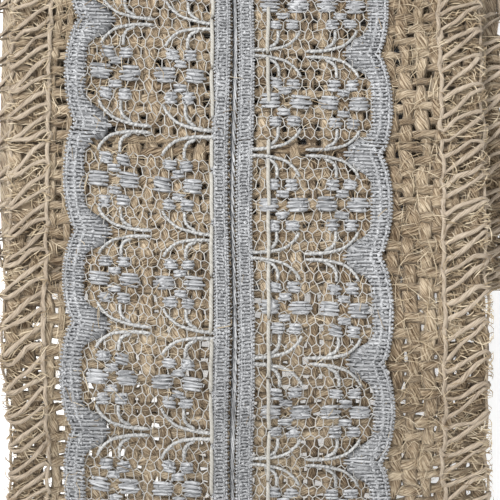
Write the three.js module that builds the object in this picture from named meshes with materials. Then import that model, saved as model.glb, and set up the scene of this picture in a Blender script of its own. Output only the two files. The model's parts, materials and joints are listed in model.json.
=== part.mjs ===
// A table runner: a narrow hessian ribbon with a galloon of lace sewn down its middle and
// serged edges. It is wound up flat into a bundle, and its free end is drawn out level over
// the front of the bundle and down to the table. Millimetres.
// +X runs across the ribbon, +Y along it from the free end to the bundle, +Z up.
// The origin is at the middle of the underside.
import * as THREE from 'three';

// Driving dimensions of the ribbon.
const RUNNER_LENGTH = 2000;
const HESSIAN_HALF_WIDTH = 29.6;
const LACE_EDGES = [-22.8, 18.5];
const SEAMS = { left: -4.3, right: 2.6 };
const SEAM_THREAD_WIDTH = 0.6;
const SERGING_EDGE = 30.1;
const SERGING_WIDTH = 5.5;
const SERGING_NEEDLE_WIDTH = 0.5;
const THREAD_CLEARANCE = 0.2;

// Heights across the ribbon's thickness, from the middle of the hessian towards the lace.
const LAYERS = {
  hessian: [-0.4, 0.4],
  lace: [0.55, 0.8],
  seamNeedle: [0.95, 1.15],
  seamBobbin: [-0.8, -0.55],
  sergingNeedle: [0.55, 0.95],
  upperLooper: [0.55, 1.2],
  lowerLooper: [-1.0, -0.55],
};

// Driving dimensions of the winding: straight runs with a half-round bend at each end. The
// radius grows only round the bends, so every run is level.
const TURNS = 6;
const RUN_LENGTH = 112;
const FIRST_RADIUS = 2.4;
const PITCH = 2.35;
const BEND_STEPS = 6;

// Driving dimensions of the free end: level, a bend down, a slope, a bend back, and flat.
const LEVEL_LENGTH = 22;
const DROP_RADIUS = 18;
const DROP_ANGLE = THREE.MathUtils.degToRad(50);
const DROP_STEPS = 5;
const HINGE_OVERHANG = 4;
const SPLIT_GAP = 0.3;

// Places that follow from them: the bends' centres, the height of the bundle's middle, the
// height of the free end where it starts, the line that it bends on, and its lowest height.
const FRONT = -RUN_LENGTH / 2;
const BACK = RUN_LENGTH / 2;
const LAST_RADIUS = FIRST_RADIUS + PITCH * TURNS;
const CORE_HEIGHT = LAST_RADIUS - PITCH / 2 + LAYERS.upperLooper[1];
const TOP = CORE_HEIGHT + LAST_RADIUS;
const HINGE = FRONT - HINGE_OVERHANG;
const TABLE_LEVEL = -LAYERS.lowerLooper[0];

// A station is a place along the ribbon: a point in the middle of the hessian, and the
// angle by which the lace side has turned there, from facing up towards facing -Y.
function station(y, z, turned) {
  return { y, z, turned };
}

// The point of a station at a height across the ribbon's thickness.
function pointAt({ y, z, turned }, height) {
  return new THREE.Vector2(y - height * Math.sin(turned), z + height * Math.cos(turned));
}

// A station on a bend. A negative radius puts the bend's centre on the lace side.
function bendStation(centreY, centreZ, radius, turned) {
  const point = pointAt(station(centreY, centreZ, turned), radius);
  return station(point.x, point.y, turned);
}

// The wound part, from its inner end to the line where the free end leaves the bundle.
function woundStations() {
  const stations = [];
  for (let bend = 0; bend < 2 * TURNS; bend += 1) {
    const centreY = bend % 2 === 0 ? FRONT : BACK;
    if (bend === 0) {
      stations.push(bendStation(BACK, CORE_HEIGHT, FIRST_RADIUS, 0));
    }
    for (let step = 0; step <= BEND_STEPS; step += 1) {
      const halfTurns = bend + step / BEND_STEPS;
      const radius = FIRST_RADIUS + (PITCH / 2) * halfTurns;
      stations.push(bendStation(centreY, CORE_HEIGHT, radius, Math.PI * halfTurns));
    }
  }
  stations.push(station(HINGE, TOP, 0));
  return stations;
}

// The length of ribbon along a list of stations.
function lengthAlong(stations) {
  let length = 0;
  for (let i = 1; i < stations.length; i += 1) {
    const { y, z } = stations[i - 1];
    length += Math.hypot(stations[i].y - y, stations[i].z - z);
  }
  return length;
}

// The free end, from the split to its cut edge. Its last stretch lies flat on the table and
// takes what is left of the runner's length.
function freeEndStations(woundLength) {
  const levelEnd = FRONT - LEVEL_LENGTH;
  const stations = [station(HINGE - SPLIT_GAP, TOP, 0)];
  for (let step = 0; step <= DROP_STEPS; step += 1) {
    const turned = (DROP_ANGLE * step) / DROP_STEPS;
    stations.push(bendStation(levelEnd, TOP - DROP_RADIUS, DROP_RADIUS, turned));
  }
  const bendDrop = DROP_RADIUS * (1 - Math.cos(DROP_ANGLE));
  const slope = (TOP - TABLE_LEVEL - 2 * bendDrop) / Math.sin(DROP_ANGLE);
  const bendReach = DROP_RADIUS * Math.sin(DROP_ANGLE);
  const flatStart = levelEnd - 2 * bendReach - slope * Math.cos(DROP_ANGLE);
  for (let step = DROP_STEPS; step >= 0; step -= 1) {
    const turned = (DROP_ANGLE * step) / DROP_STEPS;
    stations.push(bendStation(flatStart, TABLE_LEVEL + DROP_RADIUS, -DROP_RADIUS, turned));
  }
  const flatLength = RUNNER_LENGTH - woundLength - lengthAlong(stations) - SPLIT_GAP;
  stations.push(station(flatStart - flatLength, TABLE_LEVEL, 0));
  return stations;
}

// Turns an extrusion, drawn in Y and Z and made along the third axis, to run along X.
const ALONG_X = new THREE.Matrix4().makeBasis(
  new THREE.Vector3(0, 1, 0),
  new THREE.Vector3(0, 0, 1),
  new THREE.Vector3(1, 0, 0),
);

// A layer of the ribbon that follows the stations, between two heights and two edges.
function layerGeometry(stations, [low, high], [left, right]) {
  const upper = stations.map((place) => pointAt(place, high));
  const lower = stations.map((place) => pointAt(place, low)).reverse();
  const section = new THREE.Shape([...upper, ...lower]);
  const geometry = new THREE.ExtrudeGeometry(section, {
    depth: right - left,
    bevelEnabled: false,
  });
  geometry.translate(0, 0, left);
  return geometry.applyMatrix4(ALONG_X);
}

const HESSIAN = new THREE.MeshStandardMaterial({ color: 0xa8906c, roughness: 0.95 });
const LACE = new THREE.MeshStandardMaterial({ color: 0xb9bdc1, roughness: 0.75 });
const SEWING_THREAD = new THREE.MeshStandardMaterial({ color: 0xd9d0bd, roughness: 0.6 });
const SERGING_THREAD = new THREE.MeshStandardMaterial({ color: 0xc3b08e, roughness: 0.8 });

// The two edges of a band, from its distances to the ribbon's middle line, on one side.
function onSide(side, inner, outer) {
  return side === 'left' ? [-outer, -inner] : [inner, outer];
}

// The two threads of a lockstitch seam that holds the lace down.
function seamPieces(side) {
  const middle = SEAMS[side];
  const edges = [middle - SEAM_THREAD_WIDTH / 2, middle + SEAM_THREAD_WIDTH / 2];
  return [
    { name: `${side}_seam_needle_thread`, layer: LAYERS.seamNeedle, edges },
    { name: `${side}_seam_bobbin_thread`, layer: LAYERS.seamBobbin, edges },
  ].map((piece) => ({ ...piece, material: SEWING_THREAD }));
}

// The three threads that serge one edge: the needle's, and those of the two loopers.
function sergingPieces(side) {
  const looperInner = SERGING_EDGE - SERGING_WIDTH;
  const needleOuter = looperInner - THREAD_CLEARANCE;
  const looperEdges = onSide(side, looperInner, SERGING_EDGE);
  const needleEdges = onSide(side, needleOuter - SERGING_NEEDLE_WIDTH, needleOuter);
  return [
    { name: `${side}_serging_needle_thread`, layer: LAYERS.sergingNeedle, edges: needleEdges },
    { name: `${side}_upper_looper_thread`, layer: LAYERS.upperLooper, edges: looperEdges },
    { name: `${side}_lower_looper_thread`, layer: LAYERS.lowerLooper, edges: looperEdges },
  ].map((piece) => ({ ...piece, material: SERGING_THREAD }));
}

const PIECES = [
  {
    name: 'hessian',
    layer: LAYERS.hessian,
    edges: [-HESSIAN_HALF_WIDTH, HESSIAN_HALF_WIDTH],
    material: HESSIAN,
  },
  { name: 'lace', layer: LAYERS.lace, edges: LACE_EDGES, material: LACE },
  ...seamPieces('left'),
  ...seamPieces('right'),
  ...sergingPieces('left'),
  ...sergingPieces('right'),
];

// Each piece is one length of cloth or thread. It is in two solids, because the free end
// bends up at the line where it leaves the bundle.
function stretch(name, stations) {
  const group = new THREE.Group();
  for (const { name: piece, layer, edges, material } of PIECES) {
    const mesh = new THREE.Mesh(layerGeometry(stations, layer, edges), material);
    mesh.name = `${piece}_${name}`;
    group.add(mesh);
  }
  return group;
}

const wound = woundStations();
const freeEnd = freeEndStations(lengthAlong(wound));

const runner = new THREE.Group();
runner.add(stretch('wound', wound), stretch('free_end', freeEnd));
runner.position.y = -new THREE.Box3().setFromObject(runner).getCenter(new THREE.Vector3()).y;

export default runner;
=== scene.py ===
"""A table runner: a hessian ribbon with a lace galloon sewn down its middle and serged edges.

It is wound up flat in a bundle, with its free end drawn out over the front. Every piece is
drawn on the ribbon laid out flat, in millimetres: x across it, y along it from the free end's
cut edge, and z up from the middle of the hessian towards the lace. The route then winds it.
"""

import itertools
import json
import logging
import math
from dataclasses import dataclass, field
from enum import Enum
from typing import Any, Callable, Iterable, Optional, Sequence

import bpy
import numpy as np
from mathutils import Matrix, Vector

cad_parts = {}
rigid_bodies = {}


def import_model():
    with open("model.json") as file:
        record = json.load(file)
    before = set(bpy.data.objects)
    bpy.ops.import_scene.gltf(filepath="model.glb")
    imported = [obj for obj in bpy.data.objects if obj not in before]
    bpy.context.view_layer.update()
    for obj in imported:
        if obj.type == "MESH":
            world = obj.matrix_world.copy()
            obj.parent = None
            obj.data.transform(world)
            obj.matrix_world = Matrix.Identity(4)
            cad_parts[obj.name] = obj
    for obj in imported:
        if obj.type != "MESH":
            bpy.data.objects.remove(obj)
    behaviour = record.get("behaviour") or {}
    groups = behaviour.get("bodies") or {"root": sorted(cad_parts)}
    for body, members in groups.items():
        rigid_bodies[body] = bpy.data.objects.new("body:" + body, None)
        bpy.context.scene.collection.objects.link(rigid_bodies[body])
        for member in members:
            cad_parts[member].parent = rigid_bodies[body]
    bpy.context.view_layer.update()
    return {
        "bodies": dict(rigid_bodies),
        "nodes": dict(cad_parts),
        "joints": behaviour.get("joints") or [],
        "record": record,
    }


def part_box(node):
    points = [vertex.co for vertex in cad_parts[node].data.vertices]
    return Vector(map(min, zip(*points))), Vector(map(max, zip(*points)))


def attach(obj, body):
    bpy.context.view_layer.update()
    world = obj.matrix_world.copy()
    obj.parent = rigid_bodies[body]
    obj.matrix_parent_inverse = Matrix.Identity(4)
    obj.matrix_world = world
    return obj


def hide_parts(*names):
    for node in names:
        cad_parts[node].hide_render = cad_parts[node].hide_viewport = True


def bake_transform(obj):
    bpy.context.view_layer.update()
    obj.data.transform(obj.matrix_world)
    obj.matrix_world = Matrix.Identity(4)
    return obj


LOG = logging.getLogger("runner")
MM = 0.001
UP = np.array([0.0, 0.0, 1.0])
MARKS = "Marks"
MIDDLE_BAND = 1e-4
TINY = 1e-12
ROUNDING = 0.001


class Edge(Enum):
    """A side of the ribbon, as seen from its free end."""

    LEFT = -1
    RIGHT = 1

    @property
    def word(self) -> str:
        """The side's name in lower case."""
        return self.name.lower()


def together(across: Any, along: Any, height: Any) -> np.ndarray:
    """Puts three coordinates together as points. Each is an array or one number."""
    return np.stack(np.broadcast_arrays(across, along, height), axis=-1)


# ---------------------------------------------------------------- the way the ribbon lies


@dataclass(frozen=True)
class Winding:
    """How the runner is wound and drawn out, in millimetres."""

    turns: int = 6
    pitch: float = 2.35
    run: float = 112.0
    level: float = 22.0
    drop_radius: float = 18.0
    drop_angle: float = math.radians(50.0)
    hinge_overhang: float = 4.0
    half_cloth: float = 0.4
    bend_step: float = math.radians(3.0)
    slips: tuple[float, float] = (-2.4, 3.0)


@dataclass(frozen=True)
class Waves:
    """How the free end and its serged edges wave, in millimetres.

    A wave is its height and its length over one radian. A bulge is its reach sideways, its
    distance from the hinge and its half length.
    """

    edge: float = 30.0
    edge_wave: tuple[float, float] = (0.35, 5.7)
    side_lag: float = 0.5
    cloth_wave: tuple[float, float] = (0.2, 9.0)
    cloth_slant: float = 17.0
    tip_margin: float = 8.0
    tip_fade: float = 12.0
    hinge_margin: float = 6.0
    hinge_fade: float = 16.0
    flare_start: float = 23.0
    flare_fade: float = 6.0
    left_bulge: tuple[float, float, float] = (-0.5, 32.0, 22.0)
    left_crest: float = 25.0
    left_wave: float = 32.0
    right_bulge: tuple[float, float, float] = (0.75, 53.0, 9.0)
    slip_start: float = 0.1
    slip_fade: float = 0.3


class Route:
    """The line that the middle of the hessian follows, from the free cut edge inwards."""

    def __init__(self, winding: Winding, frame: dict[str, Any]) -> None:
        """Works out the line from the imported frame.

        Args:
            winding: how the ribbon is wound.
        """
        self.winding = winding
        self.waves = Waves()
        hinge = frame["record"]["behaviour"]["joints"][0]["pos_m"]
        low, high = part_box("hessian_wound")
        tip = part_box("hessian_free_end")[0]
        self.hinge_place = Vector(hinge)
        self.front = hinge[1] / MM + winding.hinge_overhang
        self.back = self.front + winding.run
        self.top = high.z / MM - winding.half_cloth
        bottom = low.z / MM + winding.half_cloth
        self.last_radius = (self.top - bottom + winding.pitch / 2) / 2
        self.core = self.top - self.last_radius
        self.table = tip.z / MM + winding.half_cloth
        self._places: list[tuple[float, float, float]] = []
        self._marks: dict[str, int] = {}
        self._draw(tip.y / MM)
        places = np.array(self._places)
        steps = np.hypot(*np.diff(places[:, :2], axis=0).T)
        self._along = np.concatenate([[0.0], np.cumsum(steps)])
        self._y, self._z, self._turned = places.T

    def _draw(self, tip: float) -> None:
        """Lists the places along the ribbon.

        Args:
            tip: where the free cut edge is, in millimetres.
        """
        w = self.winding
        whole = 2 * math.pi * w.turns
        self._places.append((tip, self.table, whole))
        level_end = self.front - w.level
        drop = w.drop_radius * (1 - math.cos(w.drop_angle))
        reach = w.drop_radius * math.sin(w.drop_angle)
        slope = (self.top - self.table - 2 * drop) / math.sin(w.drop_angle)
        flat_start = level_end - 2 * reach - slope * math.cos(w.drop_angle)
        self._bend(flat_start, self.table + w.drop_radius, -w.drop_radius, whole, whole + w.drop_angle)
        self._bend(level_end, self.top - w.drop_radius, w.drop_radius, whole + w.drop_angle, whole)
        first_radius = self.last_radius - w.pitch * w.turns
        for bend in range(2 * w.turns - 1, -1, -1):
            centre = self.front if bend % 2 == 0 else self.back
            radii = [first_radius + w.pitch / 2 * half for half in (bend + 1, bend)]
            angles = math.pi * (bend + 1), math.pi * bend
            self._marks[f"bend_{bend}_start"] = len(self._places)
            self._bend(centre, self.core, radii[0], *angles, radii[1])
            self._marks[f"bend_{bend}_end"] = len(self._places) - 1
        self._places.append((self.back, self.core + first_radius, 0.0))

    def _bend(self, y: float, z: float, radius: float, start: float, end: float,
              last_radius: Optional[float] = None) -> None:
        """Adds a bend's places.

        Args:
            y: the centre's place along the table.
            z: the centre's height.
            radius: the radius where the bend starts, negative if its centre is on the lace side.
            start: the way the lace side faces there.
            end: the way it faces where the bend ends.
            last_radius: the radius at the end, where it isn't the same.
        """
        steps = max(2, round(abs(end - start) / self.winding.bend_step))
        for step in range(steps + 1):
            share = step / steps
            angle = start + (end - start) * share
            here = radius + ((last_radius or radius) - radius) * share
            self._places.append((y - here * math.sin(angle), z + here * math.cos(angle), angle))

    @property
    def length(self) -> float:
        """The ribbon's whole length."""
        return float(self._along[-1])

    @property
    def hinge(self) -> float:
        """How far along the ribbon the free end starts."""
        first = self._marks[f"bend_{2 * self.winding.turns - 1}_start"]
        return float(self._along[first]) - self.winding.run - self.winding.hinge_overhang

    @property
    def covered(self) -> float:
        """How far along the ribbon the outermost layer ends and the hidden ones begin."""
        return float(self._along[self._marks[f"bend_{2 * self.winding.turns - 2}_end"]])

    @property
    def under(self) -> tuple[float, float]:
        """The two ends of the run that lies face down on the table."""
        last = 2 * self.winding.turns - 1
        ends = self._marks[f"bend_{last}_end"], self._marks[f"bend_{last - 1}_start"]
        return float(self._along[ends[0]]), float(self._along[ends[1]])

    def slip(self, along: np.ndarray) -> np.ndarray:
        """How far each layer has slipped sideways in the bundle.

        Args:
            along: distances along the ribbon.

        Returns:
            The sideways distances.
        """
        w = self.winding
        turns = (along - self.hinge) / (2 * w.run + 2 * math.pi * self.last_radius)
        share = np.clip((turns - self.waves.slip_start) / self.waves.slip_fade, 0.0, 1.0)
        middle, swing = (w.slips[1] + w.slips[0]) / 2, (w.slips[1] - w.slips[0]) / 2
        return share * share * (3 - 2 * share) * (middle - swing * np.cos(math.pi * turns))

    def sway(self, across: np.ndarray, along: np.ndarray) -> np.ndarray:
        """The free end's gentle waves, strongest at its edges.

        Args:
            across: places across the ribbon.
            along: distances along it.

        Returns:
            Heights to add.
        """
        w = self.waves
        inside = np.clip((along - self._along[1] - w.tip_margin) / w.tip_fade, 0, 1)
        inside = inside * np.clip((self.hinge + w.hinge_margin - along) / w.hinge_fade, 0, 1)
        lag = w.side_lag * np.sign(across)
        wave = w.edge_wave[0] * (across / w.edge) ** 2 * np.sin(along / w.edge_wave[1] + lag)
        slant = across / w.cloth_slant
        return inside * (wave + w.cloth_wave[0] * np.sin(along / w.cloth_wave[1] + slant))

    def flare(self, across: np.ndarray, along: np.ndarray) -> np.ndarray:
        """How the free end's serged edges wander in and out in front of the bundle.

        Args:
            across: places across the ribbon.
            along: distances along it.

        Returns:
            Sideways distances to add.
        """
        w = self.waves
        weight = np.clip((np.abs(across) - w.flare_start) / w.flare_fade, 0.0, 1.0)
        before = self.hinge - along
        left, right = (
            reach * np.exp(-(((before - middle) / half) ** 2))
            for reach, middle, half in (w.left_bulge, w.right_bulge)
        )
        left = left * np.cos(2 * math.pi * (before - w.left_crest) / w.left_wave)
        return weight * np.where(across < 0, left, right)

    def wind(self, points: np.ndarray) -> np.ndarray:
        """Takes points from the flat ribbon to the wound one.

        Args:
            points: flat places in millimetres, one per row.

        Returns:
            The places in metres in the row frame.
        """
        across, along, height = points.T
        height = height + self.sway(across, along)
        across = across + self.flare(across, along)
        y = np.interp(along, self._along, self._y)
        z = np.interp(along, self._along, self._z)
        turned = np.interp(along, self._along, self._turned)
        beyond = np.minimum(along, 0.0)
        y = y - height * np.sin(turned) + beyond
        z = z + height * np.cos(turned)
        return together(across + self.slip(along), y, z) * MM


# ---------------------------------------------------------------- shapes on the flat ribbon


@dataclass
class Form:
    """A small closed shape: its points, its faces by their number of corners, and its marks."""

    points: np.ndarray
    faces: list[np.ndarray]
    marks: list[np.ndarray]


class Bench:
    """Models small shapes with Blender's operators and takes them off as forms."""

    @staticmethod
    def clear() -> None:
        """Leaves object mode active and nothing selected."""
        if bpy.context.object and bpy.context.object.mode != "OBJECT":
            bpy.ops.object.mode_set(mode="OBJECT")
        bpy.ops.object.select_all(action="DESELECT")

    @staticmethod
    def apply(name: str, kind: str, **settings: Any) -> None:
        """Adds a modifier to the active object and applies it.

        Args:
            name: the modifier's name.
            kind: its type.
            settings: its settings.
        """
        modifier = bpy.context.object.modifiers.new(name, kind)
        for key, value in settings.items():
            setattr(modifier, key, value)
        bpy.ops.object.modifier_apply(modifier=name)

    @staticmethod
    def part_halves(distance: float) -> None:
        """Moves the two halves of the active mesh apart, which stretches its middle.

        Args:
            distance: how far each half moves across the ribbon.
        """
        mesh = bpy.context.object.data
        for sign in (-1, 1):
            for vertex in mesh.vertices:
                vertex.select = vertex.co.x * sign > MIDDLE_BAND
            for part in (*mesh.edges, *mesh.polygons):
                part.select = all(mesh.vertices[i].select for i in part.vertices)
            bpy.ops.object.mode_set(mode="EDIT")
            bpy.ops.transform.translate(value=(sign * distance, 0, 0))
            bpy.ops.object.mode_set(mode="OBJECT")

    @staticmethod
    def points(mesh: bpy.types.Mesh) -> np.ndarray:
        """Reads a mesh's points.

        Args:
            mesh: the mesh.

        Returns:
            The points, one per row.
        """
        points = np.empty(len(mesh.vertices) * 3)
        mesh.vertices.foreach_get("co", points)
        return points.reshape(-1, 3)

    @classmethod
    def take(cls, length: float = 1.0) -> Form:
        """Reads the active mesh as a form and deletes it.

        Args:
            length: what one round of its own UV map is worth, in millimetres.

        Returns:
            The form.
        """
        thing = bpy.context.object
        mesh = thing.data
        mesh.calc_loop_triangles()
        layer = mesh.uv_layers.active
        sizes: dict[int, tuple[list, list]] = {}
        for face in mesh.polygons:
            corners, marks = sizes.setdefault(len(face.vertices), ([], []))
            corners.append(list(face.vertices))
            loops = range(face.loop_start, face.loop_start + face.loop_total)
            marks.append([tuple(layer.data[i].uv) if layer else (0.0, 0.0) for i in loops])
        form = Form(cls.points(mesh), [], [])
        for corners, marks in sizes.values():
            form.faces.append(np.array(corners))
            form.marks.append(np.array(marks) * [length, 1.0])
        bpy.data.objects.remove(thing)
        bpy.data.meshes.remove(mesh)
        return form

    @classmethod
    def rod(cls, length: float, width: float, height: float, sides: int = 4) -> Form:
        """A short thread with round ends, lying across the ribbon.

        Args:
            length: its length, ends included.
            width: its width along the ribbon.
            height: its thickness.
            sides: how many sides its section has.

        Returns:
            The form.
        """
        radius = min(width, height) / 2
        cls._ball(sides, 4, radius)
        bpy.ops.transform.rotate(value=math.pi / 2, orient_axis="Y", center_override=(0, 0, 0))
        bpy.ops.transform.resize(value=(1, width / 2 / radius, height / 2 / radius))
        bpy.ops.object.mode_set(mode="OBJECT")
        cls.part_halves(length / 2 - radius)
        return cls.take(length)

    @classmethod
    def knob(cls, across: float, along: float, height: float) -> Form:
        """A small rounded bump of thread.

        Args:
            across: its size across the ribbon.
            along: its size along it.
            height: its thickness.

        Returns:
            The form.
        """
        cls._ball(4, 3, 0.5)
        bpy.ops.transform.resize(value=(across, along, height))
        bpy.ops.object.mode_set(mode="OBJECT")
        return cls.take(across)

    @classmethod
    def _ball(cls, sides: int, rings: int, radius: float) -> None:
        """Adds a ball to shape, and leaves it in edit mode.

        Args:
            sides: how many sides it has round its axis.
            rings: how many rows of faces it has.
            radius: its radius.
        """
        cls.clear()
        bpy.ops.mesh.primitive_uv_sphere_add(segments=sides, ring_count=rings, radius=radius)
        bpy.ops.object.mode_set(mode="EDIT")


class FlatWork:
    """A piece as it is drawn on the flat ribbon, before it is wound."""

    def __init__(self) -> None:
        """Starts with nothing drawn."""
        self._points: list[np.ndarray] = []
        self._corners: list[np.ndarray] = []
        self._sizes: list[np.ndarray] = []
        self._marks: list[np.ndarray] = []
        self._finishes: list[np.ndarray] = []
        self._count = 0
        self._strands = 0

    def add(self, points: np.ndarray, faces: Sequence[np.ndarray], marks: Sequence[np.ndarray]) -> None:
        """Adds a closed mesh.

        Args:
            points: its points, one per row.
            faces: arrays of corners, one per number of corners.
            marks: each corner's distance along its thread and share of a turn round it.
        """
        self._points.append(points)
        for corners, mark in zip(faces, marks):
            self._corners.append((corners + self._count).ravel())
            self._sizes.append(np.full(len(corners), corners.shape[1]))
            self._marks.append(mark.reshape(-1, 2))
            self._finishes.append(np.zeros(len(corners), int))
        self._count += len(points)

    def tubes(self, paths: np.ndarray, width: Any, height: Any, sides: int = 6) -> None:
        """Adds closed tubes along paths that all have the same number of points.

        Args:
            paths: points by thread, step and axis.
            width: sizes across the path, by thread and step or less.
            height: thicknesses, in the same way.
            sides: how many sides the section has.
        """
        threads, steps, _ = paths.shape
        way = np.gradient(paths, axis=1)
        way /= np.linalg.norm(way, axis=2, keepdims=True) + TINY
        side = np.cross(UP, way)
        side /= np.linalg.norm(side, axis=2, keepdims=True) + TINY
        over = np.cross(way, side)
        width = np.broadcast_to(width, (threads, steps))[..., None, None] / 2
        height = np.broadcast_to(height, (threads, steps))[..., None, None] / 2
        angles = 2 * math.pi * np.arange(sides) / sides - math.pi / 2
        ring = side[:, :, None] * np.cos(angles)[:, None] * width
        ring = ring + over[:, :, None] * np.sin(angles)[:, None] * height
        points = (paths[:, :, None] + ring).reshape(-1, 3)
        step, turn = np.meshgrid(np.arange(steps - 1), np.arange(sides), indexing="ij")
        after = (turn + 1) % sides
        quads = [(step + ahead) * sides + place for ahead, place in
                 ((0, turn), (0, after), (1, after), (1, turn))]
        quads = np.stack(quads, axis=-1).reshape(-1, 4)
        starts = np.arange(threads)[:, None, None] * steps * sides
        ends = np.stack([np.arange(sides)[::-1], (steps - 1) * sides + np.arange(sides)])
        gaps = np.linalg.norm(np.diff(paths, axis=1), axis=2)
        along = np.concatenate([np.zeros((threads, 1)), np.cumsum(gaps, axis=1)], axis=1)
        number = self._strands + np.arange(threads)[:, None]
        step, turn = step.ravel(), turn.ravel()
        marks = np.empty((threads, len(step), 4, 2))
        for corner, (ahead, round_) in enumerate(((0, 0), (0, 1), (1, 1), (1, 0))):
            marks[:, :, corner, 0] = along[:, step + ahead]
            marks[:, :, corner, 1] = (turn + round_) / sides + number
        caps = np.zeros((threads, 2, sides, 2))
        caps[..., 1] = number[..., None]
        caps[:, 1, :, 0] = along[:, -1:]
        faces = [(starts + quads).reshape(-1, 4), (starts + ends).reshape(-1, sides)]
        self.add(points, faces, [marks, caps])
        self._strands += threads

    def slab(self, across: tuple[float, float], along: tuple[float, float],
             height: tuple[float, float], step: float = 1.5) -> None:
        """Adds a plain closed sheet, for layers that others cover.

        Args:
            across: its two sides.
            along: its two ends.
            height: its underside and top.
            step: how far apart its sections are.
        """
        run = np.linspace(*along, int((along[1] - along[0]) / step))
        corners = [(across[0], height[0]), (across[1], height[0]), (across[1], height[1]),
                   (across[0], height[1])]
        points = np.array([[(side, place, level) for side, level in corners] for place in run])
        points = points.reshape(-1, 3)
        first, turn = np.meshgrid(np.arange(len(run) - 1) * 4, np.arange(4), indexing="ij")
        after = (turn + 1) % 4
        quads = np.stack([first + turn, first + 4 + turn, first + 4 + after, first + after], axis=-1)
        last = (len(run) - 1) * 4
        ends = [[0, 1, 2, 3], [last + 3, last + 2, last + 1, last]]
        faces = np.concatenate([quads.reshape(-1, 4), ends])
        marks = points[faces][..., [1, 0]] * [1.0, 0.25]
        self.add(points, [faces], [marks])

    def stamp(self, form: Form, places: np.ndarray, sizes: Any = 1.0, turns: Any = 0.0) -> None:
        """Adds a copy of a form at each place.

        Args:
            form: the shape.
            places: one place per row.
            sizes: scale factors, one row per place, or one number.
            turns: angles about the upright axis.
        """
        places = np.atleast_2d(places)
        count = len(places)
        sizes = np.broadcast_to(sizes, (count, 3))[:, None]
        turns = np.broadcast_to(turns, (count,))[:, None]
        local = form.points[None] * sizes
        cos, sin = np.cos(turns), np.sin(turns)
        across = local[..., 0] * cos - local[..., 1] * sin
        along = local[..., 0] * sin + local[..., 1] * cos
        points = together(across, along, local[..., 2]) + places[:, None]
        starts = np.arange(count)[:, None, None] * len(form.points)
        faces = [(starts + corners).reshape(-1, corners.shape[1]) for corners in form.faces]
        numbers = self._strands + np.arange(count)[:, None, None, None]
        marks = [mark + numbers * [0.0, 1.0] for mark in form.marks]
        self.add(points.reshape(-1, 3), faces, marks)
        self._strands += count

    def move(self, change: Callable[[np.ndarray], np.ndarray]) -> None:
        """Changes the place of everything drawn so far.

        Args:
            change: takes points and returns their new places.
        """
        self._points = [change(points) for points in self._points]

    def take_in(self, other: "FlatWork", finish: int = 0) -> None:
        """Adds all that another work holds.

        Args:
            other: the other work.
            finish: the number of its finish in this work.
        """
        self._finishes += [numbers + finish for numbers in other._finishes]
        self._points += other._points
        self._corners += [corners + self._count for corners in other._corners]
        self._sizes += other._sizes
        self._marks += other._marks
        self._count += other._count
        self._strands += other._strands

    def wound(self, name: str, route: Route,
              materials: Sequence[bpy.types.Material]) -> bpy.types.Object:
        """Winds the piece onto the route.

        Args:
            name: the piece's name.
            route: the way the ribbon lies.
            materials: its finishes.

        Returns:
            The new object.
        """
        mesh = bpy.data.meshes.new(name)
        points = route.wind(np.concatenate(self._points))
        corners, sizes = np.concatenate(self._corners), np.concatenate(self._sizes)
        mesh.vertices.add(len(points))
        mesh.vertices.foreach_set("co", points.astype(np.float32).ravel())
        mesh.loops.add(len(corners))
        mesh.loops.foreach_set("vertex_index", corners.astype(np.int32))
        mesh.polygons.add(len(sizes))
        starts = np.concatenate([[0], np.cumsum(sizes)[:-1]])
        mesh.polygons.foreach_set("loop_start", starts.astype(np.int32))
        mesh.polygons.foreach_set("use_smooth", np.ones(len(sizes), bool))
        mesh.update(calc_edges=True)
        layer = mesh.uv_layers.new(name=MARKS)
        layer.data.foreach_set("uv", np.concatenate(self._marks).astype(np.float32).ravel())
        for material in materials:
            mesh.materials.append(material)
        finishes = np.concatenate(self._finishes).astype(np.int32)
        mesh.polygons.foreach_set("material_index", finishes)
        piece = bpy.data.objects.new(name, mesh)
        bpy.context.scene.collection.objects.link(piece)
        mesh.calc_loop_triangles()
        LOG.info("%s: %d triangles", name, len(mesh.loop_triangles))
        return piece


class Wander:
    """Smooth random curves, one per thread."""

    WAVES = 5

    def __init__(self, seed: int, threads: int, reach: float) -> None:
        """Draws the curves.

        Args:
            seed: what makes them the same each time.
            threads: how many curves.
            reach: the length of their longest wave.
        """
        chance = np.random.default_rng(seed)
        size = threads, self.WAVES
        self._rates = 2 * math.pi / (reach * chance.uniform(0.2, 1.0, size))
        self._starts = chance.uniform(0, 2 * math.pi, size)
        self._weights = chance.uniform(0.3, 1.0, size)
        self._weights /= np.sqrt((self._weights ** 2).sum(axis=1, keepdims=True) / 2)

    def at(self, along: np.ndarray) -> np.ndarray:
        """The curves' values, about one unit high.

        Args:
            along: places along each thread, by thread and step or by step.

        Returns:
            Values by thread and step.
        """
        along = np.broadcast_to(along, (len(self._rates), np.shape(along)[-1]))
        waves = np.sin(along[..., None] * self._rates[:, None] + self._starts[:, None])
        return (waves * self._weights[:, None]).sum(axis=2)


def curve_through(points: Sequence[Sequence[float]], steps: int) -> np.ndarray:
    """A smooth curve through a few points.

    Args:
        points: the points that it passes.
        steps: how many points it gets.

    Returns:
        The curve's points, one per row.
    """
    known = np.array(points, float)
    padded = np.vstack([2 * known[0] - known[1], known, 2 * known[-1] - known[-2]])
    where = np.linspace(0, len(known) - 1, steps)
    index = np.minimum(where.astype(int), len(known) - 2)
    t = (where - index)[:, None]
    a, b, c, d = (padded[index + k] for k in range(4))
    square, cube = 2 * a - 5 * b + 4 * c - d, 3 * b - a - 3 * c + d
    return 0.5 * (2 * b + (c - a) * t + square * t**2 + cube * t**3)


# ---------------------------------------------------------------- finishes


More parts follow.
